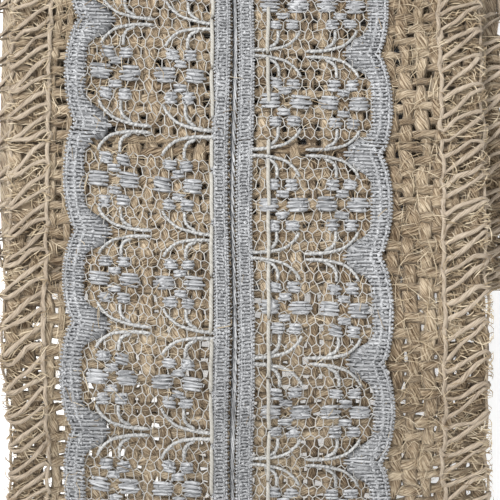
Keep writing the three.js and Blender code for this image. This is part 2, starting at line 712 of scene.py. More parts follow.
def maths(operation: str, swapped: bool = False) -> Callable[..., "Wire"]:
    """Makes a method that adds a Math node.

    Args:
        operation: what the node does.
        swapped: whether the other value comes first.

    Returns:
        The method.
    """

    def method(wire: "Wire", *other: Any) -> "Wire":
        """Adds the node and gives its result."""
        values = (*other, wire) if swapped else (wire, *other)
        return wire.paint.node("ShaderNodeMath", {"operation": operation}, dict(enumerate(values)))

    return method


@dataclass
class Wire:
    """A shader socket that can be used in Python expressions."""

    paint: "Paint"
    socket: bpy.types.NodeSocket

    __add__ = __radd__ = maths("ADD")
    __mul__ = __rmul__ = maths("MULTIPLY")
    __sub__ = maths("SUBTRACT")
    __rsub__ = maths("SUBTRACT", swapped=True)
    sine = maths("SINE")

    def clamped(self) -> "Wire":
        """The value held between 0 and 1."""
        return self.paint.node("ShaderNodeClamp", {}, {"Value": self})


class Paint:
    """A material and its node tree."""

    def __init__(self, name: str) -> None:
        """Makes an empty material.

        Args:
            name: its name.
        """
        self.material = bpy.data.materials.new(name)
        self.material.use_nodes = True
        self.tree = self.material.node_tree
        self.tree.nodes.clear()

    def node(self, kind: str, settings: dict[str, Any], inputs: dict[Any, Any],
             output: Any = 0) -> Wire:
        """Adds a node.

        Args:
            kind: its type.
            settings: its own settings, set first.
            inputs: values or wires by the name or number of the socket.
            output: the name or number of the socket to return.

        Returns:
            The output.
        """
        made = self.tree.nodes.new(kind)
        for key, value in settings.items():
            setattr(made, key, value)
        for key, value in inputs.items():
            if isinstance(value, Wire):
                self.tree.links.new(value.socket, made.inputs[key])
            else:
                made.inputs[key].default_value = value
        return Wire(self, made.outputs[output])

    def ramp(self, place: Wire, stops: Sequence[tuple[float, Sequence[float]]]) -> Wire:
        """Adds a colour ramp.

        Args:
            place: where on the ramp to look.
            stops: place and colour of each stop.

        Returns:
            The colour.
        """
        colour = self.node("ShaderNodeValToRGB", {}, {"Fac": place}, "Color")
        ramp = colour.socket.node.color_ramp
        while len(ramp.elements) < len(stops):
            ramp.elements.new(0.5)
        for element, (spot, shade) in zip(ramp.elements, stops):
            element.position, element.color = spot, (*shade, 1.0)
        return colour

    def finish(self, **inputs: Any) -> bpy.types.Material:
        """Ends the tree in a Principled shader.

        Args:
            inputs: its values and wires, with underscores for spaces.

        Returns:
            The material.
        """
        named = {key.replace("_", " "): value for key, value in inputs.items()}
        shader = self.node("ShaderNodeBsdfPrincipled", {}, named)
        out = self.tree.nodes.new("ShaderNodeOutputMaterial")
        self.tree.links.new(shader.socket, out.inputs["Surface"])
        return self.material


@dataclass(frozen=True)
class ThreadFinish:
    """The look of a spun thread: fibres that run round it in a twist, and its colour's drift."""

    name: str
    dark: tuple[float, float, float]
    middle: tuple[float, float, float]
    light: tuple[float, float, float]
    roughness: float = 0.85
    fibre_length: float = 1.4
    fibres_round: float = 14.0
    twist_pitch: float = 4.0
    plies: float = 0.0
    ply_depth: float = 0.0
    relief: float = 0.00008
    drift_size: float = 90.0
    sheen: float = 0.1
    contrast: float = 2.6
    drift: float = 0.7
    strand_spread: float = 0.0
    middle_place: float = 0.45
    dark_roughness: float = 0.2
    light_gloss: float = 0.25
    specular: float = 0.12

    def material(self) -> bpy.types.Material:
        """Builds the material.

        Returns:
            The material, which reads the piece's marks and its own place.
        """
        paint = Paint(self.name)
        marks = paint.node("ShaderNodeUVMap", {"uv_map": MARKS}, {})
        along, round_ = (paint.node("ShaderNodeSeparateXYZ", {}, {0: marks}, axis) for axis in "XY")
        twisted = round_ + along * (1 / self.twist_pitch)
        streaks = {"X": along * (1 / self.fibre_length), "Y": twisted * self.fibres_round}
        streak_place = paint.node("ShaderNodeCombineXYZ", {}, streaks)
        fibres = paint.node(
            "ShaderNodeTexNoise", {"noise_dimensions": "2D"},
            {"Vector": streak_place, "Scale": 1.0, "Detail": 3.0, "Roughness": 0.6}, "Fac",
        )
        where = paint.node("ShaderNodeTexCoord", {}, {}, "Object")
        places = {"Vector": where, "Scale": self.drift_size, "Detail": 2.0}
        drift = paint.node("ShaderNodeTexNoise", {}, places, "Fac")
        number = paint.node("ShaderNodeMath", {"operation": "FLOOR"}, {0: round_ + ROUNDING})
        strand = paint.node(
            "ShaderNodeTexWhiteNoise", {"noise_dimensions": "1D"}, {"W": number}, "Value"
        )
        shade = fibres * self.contrast + (0.5 - self.contrast / 2) + (drift - 0.5) * self.drift
        shade = (shade + (strand - 0.5) * self.strand_spread).clamped()
        stops = (0.0, self.dark), (self.middle_place, self.middle), (1.0, self.light)
        colour = paint.ramp(shade, stops)
        height = fibres
        if self.plies:
            turns = (twisted * (2 * math.pi * self.plies)).sine()
            height = fibres * 0.5 + turns * self.ply_depth
        bump = paint.node(
            "ShaderNodeBump", {}, {"Height": height, "Distance": self.relief, "Strength": 1.0},
            "Normal",
        )
        roughness = (self.roughness + self.dark_roughness - shade * self.light_gloss).clamped()
        return paint.finish(
            Base_Color=colour, Roughness=roughness, Normal=bump, Sheen_Weight=self.sheen,
            Sheen_Roughness=0.5, Specular_IOR_Level=self.specular,
        )


@dataclass(frozen=True)
class Finishes:
    """Every finish on the runner."""

    jute: ThreadFinish = ThreadFinish(
        "Jute yarn", (0.058, 0.034, 0.017), (0.255, 0.186, 0.118), (0.55, 0.45, 0.32),
        fibre_length=1.8, fibres_round=28.0, twist_pitch=12.0, relief=0.0003, contrast=2.4,
        strand_spread=0.35,
    )
    fibre: ThreadFinish = ThreadFinish(
        "Loose jute fibre", (0.18, 0.126, 0.074), (0.375, 0.29, 0.185), (0.60, 0.505, 0.365),
        fibre_length=3.0, fibres_round=2.0, relief=0.00002, roughness=0.7, contrast=1.2,
        strand_spread=1.1,
    )
    net: ThreadFinish = ThreadFinish(
        "Net cotton", (0.19, 0.18, 0.16), (0.40, 0.385, 0.36), (0.62, 0.60, 0.57),
        fibre_length=0.6, fibres_round=2.0, relief=0.00002, roughness=0.9, drift_size=400.0,
    )
    lace: ThreadFinish = ThreadFinish(
        "Lace cotton", (0.14, 0.141, 0.145), (0.30, 0.302, 0.307), (0.50, 0.502, 0.507),
        fibre_length=0.22, fibres_round=3.0, twist_pitch=1.6, plies=2.0, ply_depth=0.12,
        relief=0.0002, roughness=0.98, sheen=0.0, contrast=2.8, drift_size=300.0, strand_spread=0.2,
    )
    stem: ThreadFinish = ThreadFinish(
        "Lace stem cotton", (0.17, 0.166, 0.16), (0.34, 0.338, 0.33), (0.54, 0.535, 0.52),
        fibre_length=0.3, fibres_round=3.0, twist_pitch=1.2, plies=2.0, ply_depth=0.2,
        relief=0.0001, roughness=0.95, sheen=0.0, contrast=2.2,
    )
    sewing: ThreadFinish = ThreadFinish(
        "Sewing thread", (0.23, 0.216, 0.19), (0.345, 0.328, 0.293), (0.46, 0.44, 0.40),
        fibre_length=1.0, fibres_round=8.0, twist_pitch=1.5, plies=2.0, ply_depth=0.4,
        relief=0.00003, roughness=0.7, contrast=1.8,
    )
    serging: ThreadFinish = ThreadFinish(
        "Serging thread", (0.17, 0.128, 0.09), (0.35, 0.282, 0.21), (0.49, 0.415, 0.325),
        fibre_length=1.6, fibres_round=20.0, twist_pitch=6.0, plies=2.0, ply_depth=0.06,
        relief=0.00022, contrast=2.3,
    )


# ---------------------------------------------------------------- stretches of the ribbon


def spaced(pitch: float, phase: float, low: float, high: float) -> np.ndarray:
    """Evenly spaced places.

    Args:
        pitch: the spacing.
        phase: one place that the spacing passes through.
        low: where the places may start.
        high: where they stop.

    Returns:
        The places.
    """
    first, last = (math.ceil((end - phase) / pitch) for end in (low, high))
    return phase + pitch * np.arange(first, last)


def signs(chance: np.random.Generator, count: int, share: float) -> np.ndarray:
    """Random signs, of which about a share are plus."""
    return np.where(chance.random(count) < share, 1.0, -1.0)


def beat(count: int) -> np.ndarray:
    """One and minus one by turns."""
    return np.where(np.arange(count) % 2 == 0, 1.0, -1.0)


@dataclass(frozen=True)
class Part:
    """The detailed or the hidden part of a stretch."""

    hidden: bool
    low: float
    high: float

    @property
    def sides(self) -> int:
        """How many sides its threads' sections have."""
        return 4 if self.hidden else 6


@dataclass(frozen=True)
class Stretch:
    """A length of the ribbon that belongs to one body: its detailed part and its hidden part."""

    name: str
    body: str
    start: float
    end: float
    hidden_end: float
    under: tuple[float, float]
    margin: float = 0.05

    @property
    def length(self) -> float:
        """Its whole length."""
        return self.hidden_end - self.start

    @property
    def free(self) -> bool:
        """Whether it is the free end, which has no hidden part."""
        return self.body == "free_end"

    def parts(self) -> Iterable[Part]:
        """Divides the stretch.

        Yields:
            Its detailed part, and then its hidden one if it has any.
        """
        yield Part(False, self.start, self.end)
        if not self.free:
            yield Part(True, self.end, self.hidden_end)

    def seen(self, along: np.ndarray) -> np.ndarray:
        """Tells which places don't lie face down on the table."""
        return (along < self.under[0]) | (along > self.under[1])

    def within(self, along: np.ndarray) -> np.ndarray:
        """Keeps places just inside both ends."""
        return np.clip(along, self.start + self.margin, self.hidden_end - self.margin)


@dataclass
class Made:
    """What a stretch's pieces are, by name."""

    route: Route
    stretch: Stretch
    pieces: dict[str, bpy.types.Object] = field(default_factory=dict)

    def keep(self, name: str, work: FlatWork, materials: Sequence[bpy.types.Material], slot: str,
             *nodes: str) -> bpy.types.Object:
        """Winds a piece, puts it on its body unless it belongs to the free end, and hides the CAD
        pieces that it replaces.

        Args:
            name: the piece's name, without the stretch's.
            work: what was drawn.
            materials: its finishes.
            slot: the record's material slot; not used.
            nodes: the CAD pieces that it stands for, without the stretch's name.

        Returns:
            The piece.
        """
        piece = work.wound(f"{name}_{self.stretch.name}", self.route, materials)
        for node in nodes:
            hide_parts(f"{node}_{self.stretch.name}")
        if self.stretch.free:
            start = self.route.hinge_place
            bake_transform(piece)
            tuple(start)
        else:
            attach(piece, self.stretch.body)
        self.pieces[name] = piece
        return piece


@dataclass
class Hairs:
    """Loose fibres: short curls that thin towards their ends."""

    heading: np.ndarray
    length: np.ndarray
    bend: np.ndarray
    share: np.ndarray = field(default_factory=lambda: np.linspace(-0.5, 0.5, 4))
    thinning: float = 0.8

    @property
    def arch(self) -> np.ndarray:
        """How far up its own rise a fibre is, from end to end."""
        return 1 - (2 * self.share) ** 2

    def run(self, across: np.ndarray, along: np.ndarray) -> list[np.ndarray]:
        """Curls the fibres.

        Args:
            across: where each starts across the ribbon.
            along: where each starts along it.

        Returns:
            Their places across and along, by fibre and step.
        """
        angle = self.heading[:, None] + self.bend[:, None] * self.share
        pace = self.length[:, None] / (len(self.share) - 1)
        return [
            start[:, None] + np.cumsum(way(angle) * pace, axis=1)
            for start, way in ((across, np.cos), (along, np.sin))
        ]

    def draw(self, work: FlatWork, paths: np.ndarray, thickness: np.ndarray) -> None:
        """Draws the fibres.

        Args:
            work: where they are drawn.
            paths: where they run.
            thickness: each one's greatest thickness.
        """
        thick = thickness[:, None] * (1 - self.thinning * np.abs(2 * self.share) ** 3)
        work.tubes(paths, thick, thick, 3)


@dataclass(frozen=True)
class Yarns:
    """The warp or the weft. A wander is how far it goes and the length of its longest wave."""

    axis: int
    width: float
    widths: tuple[float, float]
    stray: tuple[float, float]
    lift: tuple[float, float]
    swell: tuple[float, float]
    unevenness: float = 0.14
    height: float = 0.6

    def drawn(self, paths: np.ndarray, seeds: Sequence[int], fullness: Any) -> FlatWork:
        """Draws the yarns.

        Args:
            paths: where they would run if they were even.
            seeds: what makes their straying, lift, swelling and thickness the same each time.
            fullness: factors of their width.

        Returns:
            The yarns.
        """
        work, count, run = FlatWork(), len(paths), paths[..., 1 - self.axis].copy()
        wanders = zip((self.axis, 2, None), (self.stray, self.lift, self.swell), seeds)
        each = 1 + np.random.default_rng(seeds[3]).normal(0, self.unevenness, (count, 1))
        width = fullness * self.width * each
        for axis, (reach, wave), seed in wanders:
            value = reach * Wander(seed, count, wave).at(run)
            if axis is None:
                width = width * (1 + value)
            else:
                paths[..., axis] += value
        work.tubes(paths, np.clip(width, *self.widths), self.height, 5)
        return work


@dataclass
class Hessian:
    """The jute cloth: warp yarns along the ribbon, weft yarns across it, and loose fibres."""

    ends: int = 29
    warp_pitch: float = 2.05
    weft_pitch: float = 1.92
    warp_yarns: Yarns = Yarns(0, 1.76, (0.9, 2.3), (0.2, 26.0), (0.05, 14.0), (0.17, 17.0))
    weft_yarns: Yarns = Yarns(1, 1.48, (0.8, 2.1), (0.16, 24.0), (0.05, 12.0), (0.18, 15.0))
    warp_bulge: float = 0.1
    crimp: float = 0.25
    loose_fullness: float = 1.07
    half_width: float = 29.3
    plain_half: float = 0.36
    fibre_spacing: float = 1.28
    under_share: float = 0.2
    bare_band: tuple[float, float] = (16.5, 26.0)
    bare_share: float = 0.55
    face_share: float = 0.8
    fibre_turn: float = 0.45
    fibre_bend: float = 1.4
    fibre_lengths: tuple[float, float] = (4.0, 0.62)
    shortest_fibre: float = 0.7
    fibre_rises: tuple[float, float] = (1.2, 0.2)
    fibre_level: float = 0.38
    fibre_ripple: float = 0.1
    fibre_widths: tuple[float, float] = (0.05, 0.115)
    fibre_heights: tuple[float, float] = (-0.95, 1.3)
    free_fibre_top: float = 1.6
    fibre_overhang: float = 1.2

    def warp(self, stretch: Stretch, phase: float) -> FlatWork:
        """Draws the warp.

        Args:
            stretch: the length of ribbon.
            phase: a place midway between two weft yarns.

        Returns:
            The yarns, and the hidden layers as one plain sheet.
        """
        first, last = self.picks(stretch, phase)
        half_steps = np.arange(2 * first, 2 * last + 1)
        along = phase + half_steps * self.weft_pitch / 2
        index = np.arange(self.ends)[:, None]
        across = (index - (self.ends - 1) / 2) * self.warp_pitch
        height = self.crimp * np.sin(math.pi * half_steps / 2 + math.pi * index)
        paths = together(across + self.skew(across, along), along, height)
        bulge = 1 + self.warp_bulge * np.abs(np.sin(math.pi * half_steps / 2))
        work = self.warp_yarns.drawn(paths, (11, 12, 13, 14), self.fullness(stretch) * bulge)
        if not stretch.free:
            work.slab(
                (-self.half_width, self.half_width), (stretch.end, stretch.hidden_end),
                (-self.plain_half, self.plain_half),
            )
        return work

    def picks(self, stretch: Stretch, phase: float) -> list[int]:
        """The numbers of a stretch's first weft yarn and of the one past its last."""
        return [round((end - phase) / self.weft_pitch) for end in (stretch.start, stretch.end)]

    def fullness(self, stretch: Stretch) -> float:
        """How much thicker the yarns are where no other layer presses on them."""
        return self.loose_fullness if stretch.free else 1.0

    def skew(self, across: np.ndarray, along: np.ndarray) -> np.ndarray:
        """How the whole weave wanders sideways."""
        return 0.22 * np.sin(along / 13.0 + across / 9.0) + 0.12 * np.sin(along / 5.1 - across / 6.0)

    def bow(self, across: np.ndarray, along: np.ndarray) -> np.ndarray:
        """How the whole weave wanders along the ribbon."""
        return 0.25 * np.sin(across / 8.0 + along / 15.0) + 0.15 * np.sin(across / 3.7 - along / 11.0)

    def weft(self, stretch: Stretch, phase: float) -> FlatWork:
        """Draws the weft.

        Args:
            stretch: the length of ribbon.
            phase: a place midway between two weft yarns.

        Returns:
            The yarns.
        """
        picks = np.arange(*self.picks(stretch, phase))[:, None]
        half_steps = np.arange(2 * self.ends + 1)
        across = (half_steps - self.ends) * self.warp_pitch / 2
        along = phase + (picks + 0.5) * self.weft_pitch
        swing = np.sin(math.pi * (2 * picks + 1) / 2 + math.pi * (half_steps - 1) / 2)
        height = -self.crimp * swing * np.abs(np.sin(math.pi * half_steps / 2))
        paths = together(across, along + self.bow(across, along), height)
        seed = 22 if stretch.free else 21
        seeds = seed, seed + 10, seed + 20, seed + 30
        return self.weft_yarns.drawn(paths, seeds, self.fullness(stretch))

    def fibres(self, stretch: Stretch, seed: int) -> FlatWork:
        """Draws loose fibres that lie on both faces and stand a little proud.

        Args:
            stretch: the length of ribbon.
            seed: what makes them the same each time.

        Returns:
            The fibres.
        """
        chance = np.random.default_rng(seed)
        low, high = stretch.start, stretch.end
        count = int((high - low) * 2 * self.half_width / self.fibre_spacing ** 2)
        side = -signs(chance, count, 0.5)
        anywhere = chance.uniform(-self.half_width, self.half_width, count)
        bare = side * chance.uniform(*self.bare_band, count)
        across = np.where(chance.random(count) < self.bare_share, bare, anywhere)
        along = chance.uniform(low, high, count)
        kept = stretch.seen(along) | (chance.random(count) < self.under_share)
        across, along, count = across[kept], along[kept], int(kept.sum())
        face = signs(chance, count, self.face_share)
        quarter = chance.integers(0, 2, count) * math.pi / 2
        heading = quarter + chance.normal(0, self.fibre_turn, count)
        length = chance.gamma(*self.fibre_lengths, count) + self.shortest_fibre
        hairs = Hairs(heading, length, chance.normal(0, self.fibre_bend, count))
        rise = chance.gamma(*self.fibre_rises, count)[:, None] * hairs.arch
        ripple = self.fibre_ripple * np.sin(7 * hairs.share + heading[:, None])
        lowest, highest = self.fibre_heights
        height = face[:, None] * (self.fibre_level + rise + ripple)
        height = np.clip(height, lowest, self.free_fibre_top if stretch.free else highest)
        across, along = hairs.run(across, along)
        reach = self.half_width + self.fibre_overhang
        paths = together(np.clip(across, -reach, reach), np.clip(along, low + 0.1, high - 0.1), height)
        work = FlatWork()
        hairs.draw(work, paths, chance.uniform(*self.fibre_widths, count))
        return work


@dataclass(frozen=True)
class Half:
    """One half of the lace: its flowers' columns, its border, and how it was drawn askew."""

    columns: tuple[float, float]
    crest: float
    shear: float
    lag: float
    ease: float


@dataclass
class Lace:
    """The galloon: net, flowers, two braids down its middle, and a scalloped border each side."""

    middle: float = -1.7
    repeat: float = 13.8
    phase: float = 195.4
    halves: dict[Edge, Half] = field(default_factory=lambda: {
        Edge.LEFT: Half((6.8, 14.95), 21.3, -0.0855, 0.0, 1.1),
        Edge.RIGHT: Half((6.45, 13.85), 20.0, -0.018, 2.6, 0.4),
    })
    ease_length: float = 50.0
    ease_phase: float = 190.0
    ground: float = 0.72
    cell: float = 1.1
    rows_per_repeat: int = 10
    strand: float = 0.15
    net_inner: float = 2.5
    net_drop: float = 0.08
    net_stray: float = 0.07
    eyes: tuple[tuple[float, float], ...] = ((0.0, 0.8), (-2.2, 0.5), (2.2, 0.5))
    satin: float = 0.52
    satin_height: float = 0.36
    satin_spacing: float = 0.93
    outer_strand: float = 0.84
    leaves: tuple[tuple[float, float, float, int], ...] = (
        (1.92, 0.0, 2.8, 4), (-1.88, 0.05, 2.7, 4), (0.0, 1.4, 1.7, 2), (-0.05, -1.45, 1.7, 2),
        (1.1, 2.65, 1.9, 3), (-1.15, 2.6, 1.85, 3), (1.15, -2.75, 1.9, 3), (-1.15, -2.7, 1.85, 3),
    )
    stem_lines: tuple[tuple[tuple[float, float], ...], ...] = (
        ((2.0, 3.7), (1.5, 4.6), (0.3, 5.7), (-1.2, 6.2), (-2.8, 6.45), (-4.7, 6.5)),
        ((-0.8, 3.6), (-0.85, 4.8), (-1.3, 5.6), (-2.2, 6.1)),
    )
    stem_width: float = 0.4
    bar_swell: float = 0.1
    bar_reach: float = 2.5
    scallop_depth: float = 1.55
    scallop_power: float = 0.6
    band: float = 2.7
    wedge: float = 3.9
    wedge_reach: float = 4.2
    wedge_power: float = 1.8
    rungs_per_repeat: int = 28
    rung_height: float = 0.3
    border_knots: tuple[float, ...] = (0.22, 0.5, 0.76)
    border_cords: tuple[tuple[float, float], ...] = ((0.3, 0.42), (1.35, 0.5))
    backing_inset: float = 0.3
    backing_step: float = 0.6
    backing_height: float = 0.12
    braid_inner: float = 0.65
    braid_outer: float = 2.45
    braid_pitch: float = 0.46
    braid_knots: tuple[float, ...] = (0.55, 1.25)
    braid_cord_inset: float = 0.3
    braid_cord: float = 0.36
    stray: float = 0.07
    plain_half: float = 19.0
    plain_heights: tuple[float, float] = (0.54, 0.82)
    plain_step: float = 2.2
    close_share: float = 0.94

    @property
    def top(self) -> float:
        """How high the flowers' leaves lie."""
        return self.ground + 0.08

    @property
    def notch(self) -> float:
        """Where one of the border's notches is."""
        return self.phase + self.repeat / 2

    def lay(self, points: np.ndarray) -> np.ndarray:
        """Lays the lace on the ribbon, a little askew as it was sewn.

        Args:
            points: places on the lace: out from its middle line, along it, and height.

        Returns:
            Places on the flat ribbon.
        """
        out, along, height = points.T
        halves = self.halves[Edge.LEFT], self.halves[Edge.RIGHT]
        shear, lag, ease = (
            np.where(out < 0, *(getattr(half, name) for half in halves))
            for name in ("shear", "lag", "ease")
        )
        across = self.middle + out + 0.18 * np.sin(along / 6.1 + out / 15.0)
        drawn = ease * np.sin(2 * math.pi * (along - self.ease_phase) / self.ease_length)
        ripple = 0.15 * np.sin(along / 4.3 + out / 5.0)
        return together(across, along + shear * out - lag + drawn + ripple, height)

    def rows(self, stretch: Stretch, edge: Edge, pitch: float, phase: float) -> np.ndarray:
        """Evenly spaced places on one half of the lace within a stretch.

        Args:
            stretch: the length of ribbon.
            edge: which half.
            pitch: the spacing.
            phase: one place that the spacing passes through.

        Returns:
            The places.
        """
        lag = self.halves[edge].lag
        return spaced(pitch, phase, stretch.start + lag, stretch.end + lag)

    def scallop(self, along: np.ndarray, edge: Edge) -> np.ndarray:
        """How far out the border's edge is.

        Args:
            along: distances along the lace.
            edge: which border.

        Returns:
            Distances out from the lace's middle line.
        """
        swell = np.abs(np.sin(math.pi * (along - self.notch) / self.repeat)) ** self.scallop_power
        return self.halves[edge].crest - self.scallop_depth * (1 - swell)

    def band_inner(self, along: np.ndarray, edge: Edge) -> np.ndarray:
        """How far out the border's inner side is. At each notch it steps inwards.

        Args:
            along: distances along the lace.
            edge: which border.

        Returns:
            Distances out from the lace's middle line.
        """
        near = np.clip(1 - self.off_repeat(along - self.notch) / self.wedge_reach, 0, 1)
        return self.halves[edge].crest - self.band - self.wedge * near ** self.wedge_power

    def off_repeat(self, along: np.ndarray) -> np.ndarray:
        """How far places are from the nearest whole repeat."""
        return np.abs((along + self.repeat / 2) % self.repeat - self.repeat / 2)

    def net(self, stretch: Stretch) -> FlatWork:
        """Models the net's cells with operators, cuts away what the flowers leave open, and
        turns the cells' sides into strands.

        Args:
            stretch: the length of ribbon.

        Returns:
            The net.
        """
        work = FlatWork()
        row = self.repeat / self.rows_per_repeat
        for edge, half in self.halves.items():
            start = stretch.start + half.lag
            rows = int((stretch.end - stretch.start) / row / 2)
            columns = int((half.crest - self.net_inner) / self.cell)
            Bench.clear()
            bpy.ops.mesh.primitive_circle_add(vertices=6, radius=1, fill_type="NGON")
            bpy.ops.object.mode_set(mode="EDIT")
            bpy.ops.transform.resize(value=(self.cell / math.sqrt(3), row / 1.5, 1))
            bpy.ops.mesh.duplicate_move(
                TRANSFORM_OT_translate={"value": (self.cell / 2, row, 0)}
            )
            bpy.ops.object.mode_set(mode="OBJECT")
            for name, offset, count in (
                ("columns", (self.cell, 0, 0), columns), ("rows", (0, 2 * row, 0), rows),
            ):
                Bench.apply(
                    name, "ARRAY", count=count, use_relative_offset=False,
                    use_constant_offset=True, constant_offset_displace=offset,
                )
            Bench.apply("weld", "WELD", merge_threshold=0.01)
            mesh = bpy.context.object.data
            points = Bench.points(mesh)
            points[:, 0] = (points[:, 0] + self.net_inner + self.cell / 2) * edge.value
            points[:, 1] += spaced(row, self.phase, start, start + row)[0]
            chance = np.random.default_rng(60 + edge.value + rows)
            points[:, :2] += chance.normal(0, self.net_stray, (len(points), 2))
            points[:, 0] += 0.10 * np.sin(points[:, 1] * 2.9 + points[:, 0] * 1.7)
            points[:, 1] += 0.12 * np.sin(points[:, 0] * 3.1 + points[:, 1] * 1.3)
            ripple = 0.06 * np.sin(points[:, 0] * 2.1 + points[:, 1] * 2.6)
            points[:, 2] = self.ground - self.net_drop + ripple
            mesh.vertices.foreach_set("co", points.ravel())
            mesh.update()
            self._cut_cells(mesh, edge)
            if edge is Edge.LEFT:
                mesh.flip_normals()
            Bench.apply(
                "strands", "WIREFRAME", thickness=self.strand, use_even_offset=False,
                use_boundary=True,
            )
            form = Bench.take()
            work.add(form.points, form.faces, [marks * 0 for marks in form.marks])
        return work

    def _cut_cells(self, mesh: bpy.types.Mesh, edge: Edge) -> None:
        """Deletes the cells that the border covers and those in the flowers' eyes.

        Args:
            mesh: the net's cells.
            edge: which half of the lace it is.
        """
        centres = np.array([face.center for face in mesh.polygons])
        out, along = np.abs(centres[:, 0]), centres[:, 1]
        gone = out > self.band_inner(along, edge) + 0.3
        beside = (along - self.phase + self.repeat / 2) % self.repeat - self.repeat / 2
        for column, (lift, reach) in itertools.product(self.halves[edge].columns, self.eyes):
            gone |= np.hypot(out - column, beside - lift) < reach
        for step in (lambda: bpy.ops.mesh.select_mode(type="FACE"),
                     lambda: bpy.ops.mesh.delete(type="FACE")):
            mesh.polygons.foreach_set("select", gone)
            bpy.ops.object.mode_set(mode="EDIT")
            step()
            bpy.ops.object.mode_set(mode="OBJECT")

    def centres(self, stretch: Stretch, edge: Edge) -> Iterable[tuple[float, np.ndarray]]:
        """Finds the flowers' middles on one half of the lace.

        Args:
            stretch: the length of ribbon.
            edge: which half.

        Yields:
            Each column's distance out and its flowers' middles.
        """
        rows = self.rows(stretch, edge, self.repeat, self.phase)
        for column in self.halves[edge].columns:
            yield column, together(edge.value * column, rows, self.top)

    def flowers(self, stretch: Stretch) -> FlatWork:
        """Stitches the leaves of the four columns of flowers.

        Args:
            stretch: the length of ribbon.

        Returns:
            The leaves.
        """
        work = FlatWork()
        strand = Bench.rod(1.0, self.satin, self.satin_height)
        bead = Bench.knob(0.5, 0.46, 0.3)
        uneven = [[0.06], [0.1], [0.1]]
        flowers = ((edge, *row) for edge in Edge for row in self.centres(stretch, edge))
        for edge, column, centres in flowers:
            count, seen = len(centres), stretch.seen(centres[:, 1])
            chance = np.random.default_rng(int(column * 10) + edge.value + count)
            for out, along, width, strands in self.leaves:
                turn = chance.normal(0, 0.07, count)
                drawn = chance.normal(0, 0.06, centres.shape)
                for number in range(strands):
                    lift = (number - (strands - 1) / 2) * self.satin * self.satin_spacing
                    spots = centres + [edge.value * out, along + lift, 0.0] + drawn
                    spots = spots + chance.normal(0, 0.045, centres.shape)
                    full = 0 < number < strands - 1 or strands == 2
                    length = width * (1.0 if full else self.outer_strand)
                    sizes = (1 + chance.normal(0, uneven, (3, count))).T * [length, 1.0, 1.0]
                    work.stamp(strand, spots, sizes, turn + chance.normal(0, 0.05, count))
                    shift = chance.uniform(-0.4, 0.4, count) * length
                    spots = spots + together(shift, shift * turn, chance.uniform(0.04, 0.1, count))
                    beads = 1 + chance.normal(0, 0.18, (count, 3))
                    work.stamp(bead, spots[seen], beads[seen])
        return work

    def stems(self, stretch: Stretch) -> FlatWork:
        """Draws each flower's stems and half of the two bars that they run into.

        Args:
            stretch: the length of ribbon.

        Returns:
            The stems.
        """
        work = FlatWork()
        limit = self.repeat / 2 - 0.32
        for edge, line, way in itertools.product(Edge, self.stem_lines, (-1, 1)):
            points = [(edge.value * out, way * min(along, limit), 0.0) for out, along in line]
            path = curve_through(points, 4 * len(points) - 3)
            path[:, 2] = -0.06 + 0.08 * np.sin(math.pi * np.linspace(0, 1, len(path)))
            bar = np.clip(-path[:, 0] * edge.value / self.bar_reach, 0, 1)
            width = (self.stem_width + self.bar_swell * bar) * (1 + 0.14 * beat(len(path)))
            width[-1] *= 0.5
            for _, centres in self.centres(stretch, edge):
                centres = centres[stretch.seen(centres[:, 1])]
                work.tubes(centres[:, None] + path, width, self.satin_height, 4)
        return work

    def backing(self, stretch: Stretch) -> FlatWork:
        """Lays the close strips that show between the threads of the borders and braids, and a
        pad behind each leaf.

        Args:
            stretch: the length of ribbon.

        Returns:
            The strips and pads.
        """
        work = FlatWork()
        pad = Bench.knob(0.95, 0.95, 0.24)
        for edge, half in self.halves.items():
            along = self.rows(stretch, edge, self.backing_step, self.phase)
            border = self.band_inner(along, edge), self.scallop(along, edge)
            for low, high in (border, (self.braid_inner, self.braid_outer)):
                path = together(edge.value * (low + high) / 2, along, self.ground - 0.05)
                width = high - low - 2 * self.backing_inset
                work.tubes(path[None], width, self.backing_height, 4)
            rows = self.rows(stretch, edge, self.repeat, self.phase)
            rows = rows[stretch.seen(rows)]
            leaves = itertools.product(half.columns, self.leaves)
            for column, (out, lift, width, strands) in leaves:
                places = together(edge.value * (column + out), rows + lift, self.ground - 0.02)
                work.stamp(pad, places, [width, strands * self.satin, 1.0])
        return work

    def _knots(self, work: FlatWork, form: Form, chance: np.random.Generator,
               spots: np.ndarray, seen: np.ndarray, strays: Sequence[float]) -> None:
        """Scatters small knots over a row of rungs.

        Args:
            work: where they are drawn.
            form: a knot.
            chance: the random source.
            spots: where they are before they stray.
            seen: which of them can be seen.
            strays: how far they stray: a first and a second distance across, and one along.
        """
        count = len(spots)
        spots = spots + chance.normal(0, 1.0, (count, 3)) * [strays[0], strays[2], 0.0]
        spots[:, 0] += chance.normal(0, strays[1], count)
        spots[:, 2] += chance.uniform(0.0, 0.08, count)
        sizes = 1 + chance.normal(0, 0.2, (count, 3))
        work.stamp(form, spots[seen], sizes[seen])

